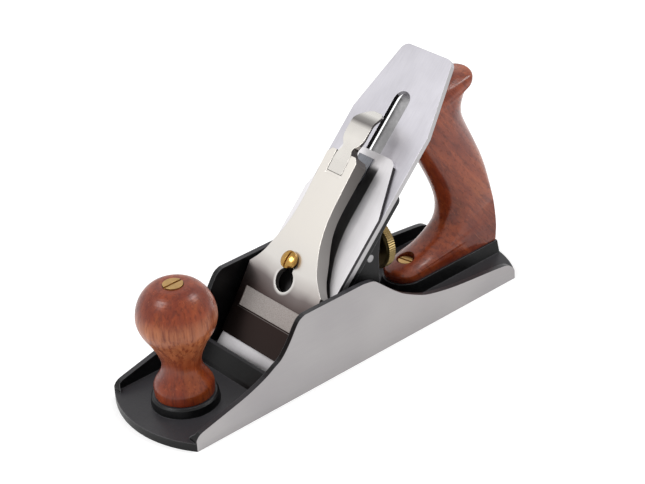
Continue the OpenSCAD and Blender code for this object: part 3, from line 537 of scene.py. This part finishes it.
def add_piece(name, mesh, body, finish):
    """A piece of that mesh and finish that rides on the body."""
    mesh.materials.append(finish)
    obj = bpy.data.objects.new(name, mesh)
    bpy.context.scene.collection.objects.link(obj)
    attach(obj, body)
    return obj


def stand_in(node, mesh, body, finish):
    """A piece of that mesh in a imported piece's place."""
    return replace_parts(add_piece(node + "_look", mesh, body, finish), node)


def upright(x, y, z):
    """Millimetres in the part's frame, in metres."""
    return x / 1000, y / 1000, z / 1000


def on_bed(u, h, y):
    """Where a point in mm along the bed, above it and across it lies."""
    c, s = math.cos(BED_SLOPE), math.sin(BED_SLOPE)
    return BED_X + (u * c - h * s) / 1000, y / 1000, (u * s + h * c) / 1000


# The cam's axis along and above the bed, its bore and the drum's and fork's sizes, in mm
CAM_U, CAM_H = 123.5, 17.0
CAM_BORE_R, DRUM_GAP_R, FORK_HALF = 2.05, 8.94, 5.95
LEVER_SOFTEN = 0.0003


def by_cam(u, h, y):
    """Where a point lies that is given from the cam's axis."""
    return on_bed(CAM_U + u, CAM_H + h, y)


def make_cam_lever():
    """The cam lever with a drum that fills the fork flush with the lever cap's top."""
    side = (through([(33.7, -2.2), (32.7, -1.4), (29.1, 2), (26.5, 4.2), (24.3, 5), (20, 5.1),
                     (13, 5.2), (6, 5.6), (1, 5.75), (-3, 5.5), (-6.9, 5.3)])
            + through([(-7.2, 4.86), (-8.3, 2.5), (-8.6, 0.4), (-8.3, -1.8), (-6.9, -4.6),
                       (-4.1, -6.9)])
            + circle(0.8, -5.6, 5, 195, 345, 16)[1:]
            + through([(6, -1.4), (9, 0.8), (13, 3.1), (20, 3.8), (23.8, 3.7), (25.8, 2.9),
                       (28.3, 0.9), (32.6, -3.1)]))
    half = [(-10, 5.6), (4, 5.6)] + through([(5.4, 5), (7.8, 3.9), (9.6, 4.6), (12.4, 6.9),
                                             (15.5, 7.9), (20, 8.1), (25, 7.9), (29.1, 6.9),
                                             (32, 5.4), (33.7, 3)])
    plan = half + [(u, -y) for u, y in reversed(half)]
    solid = prism(side, -12, 12, by_cam)
    outline = prism(plan, -14, 14, lambda u, y, h: by_cam(u, h, y))
    bore = prism(circle(0, 0, CAM_BORE_R), -13, 13, by_cam)
    mesh = carve(solid, [("INTERSECT", outline), ("DIFFERENCE", bore)], LEVER_SOFTEN)
    stand_in("cam_lever", mesh, "cam", LEVER_PLATING)
    foot = [(-9.1, 5.2)] + circle(0, 0, DRUM_GAP_R, 143.6, 182, 10) + [(-9.1, -0.3)]
    web = carve(prism(foot, -FORK_HALF, FORK_HALF, by_cam), [])
    add_piece("fork_web", web, "cap_group", CAP_PLATING)


def make_lever_cap():
    """The lever cap with its keyhole as wide as the photo's."""
    hole = prism(circle(KEYHOLE_U, 0, KEYHOLE_R), 5, 30, lambda u, y, h: on_bed(u, h, y))
    mesh = carve(welded("lever_cap"), [("DIFFERENCE", hole)])
    stand_in("lever_cap", mesh, "cap_group", CAP_PLATING)


def rod(at, r, low, high):
    """An upright round rod on the plane's middle line, in mm."""
    return prism(circle(at, 0, r), low, high, upright)


def screw_slot(at, turn, half, floor):
    """The block that cuts a screwdriver slot into an upright screw."""
    c, s = math.cos(math.radians(turn)), math.sin(math.radians(turn))
    return prism([(-8, -half), (8, -half), (8, half), (-8, half)], floor, floor + 6,
                 lambda x, y, z: upright(at + x * c - y * s, x * s + y * c, z))


# The knob's nut, in mm: where it stands, its radii, and the heights from its foot to its face
KNOB_X = -97.5
NUT_R, NUT_SHANK_R, NUT_BORE_R = 5.5, 4, 2.85
NUT_FOOT, NUT_BORE_END, NUT_RIM, NUT_SLOT, NUT_FACE = 72.9, 74.5, 75.35, 76.8, 78.1
NUT_SOFTEN = 0.0004


def make_knob_nut():
    """The knob's nut with its slot turned as the photo has it."""
    head = rod(KNOB_X, NUT_R, NUT_RIM, NUT_FACE)
    shank = rod(KNOB_X, NUT_SHANK_R, NUT_FOOT, 76)
    hollow = rod(KNOB_X, NUT_BORE_R, 72, NUT_BORE_END)
    mesh = carve(head, [("UNION", shank), ("DIFFERENCE", hollow),
                        ("DIFFERENCE", screw_slot(KNOB_X, 0, 0.7, NUT_SLOT))], NUT_SOFTEN)
    stand_in("knob_nut", mesh, "body", TURNED_BRASS)


# The tote's toe screw and its recess, in mm: place, radii, and heights from its foot to its face
SCREW_X = 65.5
SCREW_R, SCREW_SHANK_R, RECESS_R = 4.3, 2.3, 5.3
SCREW_FOOT, SCREW_SEAT, SCREW_SLOT, SCREW_FACE = 3.6, 18.2, 19.6, 20.8
SCREW_SOFTEN = 0.00025


def make_toe_screw():
    """The tote's toe screw, set down in the recess that the tote has for it."""
    head = rod(SCREW_X, SCREW_R, SCREW_SEAT, SCREW_FACE)
    shank = rod(SCREW_X, SCREW_SHANK_R, SCREW_FOOT, 18.6)
    mesh = carve(head, [("UNION", shank),
                        ("DIFFERENCE", screw_slot(SCREW_X, -80, 0.6, SCREW_SLOT))], SCREW_SOFTEN)
    stand_in("tote_toe_screw", mesh, "body", TURNED_BRASS)
    recess = rod(SCREW_X, RECESS_R, SCREW_SEAT, 40)
    mesh = carve(welded("tote"), [("DIFFERENCE", recess)])
    stand_in("tote", mesh, "body", FINISHES["hardwood"])


make_cam_lever()
make_lever_cap()
make_knob_nut()
make_toe_screw()


# Studio
FLOOR_REACH, FLOOR_GLOW = 6.0, 0.3
SKY_FILL = 0.6
SOFTBOX_POWER, SOFTBOX_SIZE = 4.4, (0.4, 0.4)
LIT_POINT = (0, 0, 0.05)


def make_floor():
    """A pale floor that shows white and keeps the plane's shadow."""
    mesh = bpy.data.meshes.new("floor")
    r = FLOOR_REACH
    mesh.from_pydata([(-r, -r, 0), (r, -r, 0), (r, r, 0), (-r, r, 0)], [], [(0, 1, 2, 3)])
    floor = bpy.data.objects.new("floor", mesh)
    bpy.context.scene.collection.objects.link(floor)
    f = Finish("floor_paper", Roughness=0.9)
    f.shader.inputs["Emission Color"].default_value = (1, 1, 1, 1)
    f.shader.inputs["Emission Strength"].default_value = FLOOR_GLOW
    floor.data.materials.append(f.finish(Base_Color=(0.9, 0.9, 0.9, 1)))


def make_softbox(name, at):
    data = bpy.data.lights.new(name, "AREA")
    data.energy, data.shape = SOFTBOX_POWER, "RECTANGLE"
    data.size, data.size_y = SOFTBOX_SIZE
    lamp = bpy.data.objects.new(name, data)
    bpy.context.scene.collection.objects.link(lamp)
    to = Vector(LIT_POINT) - Vector(at)
    lamp.matrix_world = Matrix.Translation(at) @ to.to_track_quat("-Z", "Y").to_matrix().to_4x4()


def make_sky():
    """White all round; the camera, metal and glass see it white, and it lights more softly."""
    world = bpy.data.worlds.new("studio")
    bpy.context.scene.world = world
    world.use_nodes = True
    tree = world.node_tree
    back = tree.nodes["Background"]
    path = tree.nodes.new("ShaderNodeLightPath")
    seen = None
    for ray in ("Is Camera Ray", "Is Glossy Ray", "Is Transmission Ray"):
        if seen is None:
            seen = path.outputs[ray]
            continue
        add = tree.nodes.new("ShaderNodeMath")
        add.operation = "MAXIMUM"
        tree.links.new(seen, add.inputs[0])
        tree.links.new(path.outputs[ray], add.inputs[1])
        seen = add.outputs[0]
    level = tree.nodes.new("ShaderNodeMapRange")
    level.inputs["To Min"].default_value = SKY_FILL
    level.inputs["To Max"].default_value = 1.0
    tree.links.new(seen, level.inputs["Value"])
    tree.links.new(level.outputs[0], back.inputs["Strength"])
    back.inputs["Color"].default_value = (1, 1, 1, 1)


make_floor()
make_sky()
make_softbox("left_softbox", (-0.68, 0.2, 0.9))
make_softbox("right_softbox", (0.61, -0.34, 0.9))

bpy.context.scene.view_settings.view_transform = "Standard"
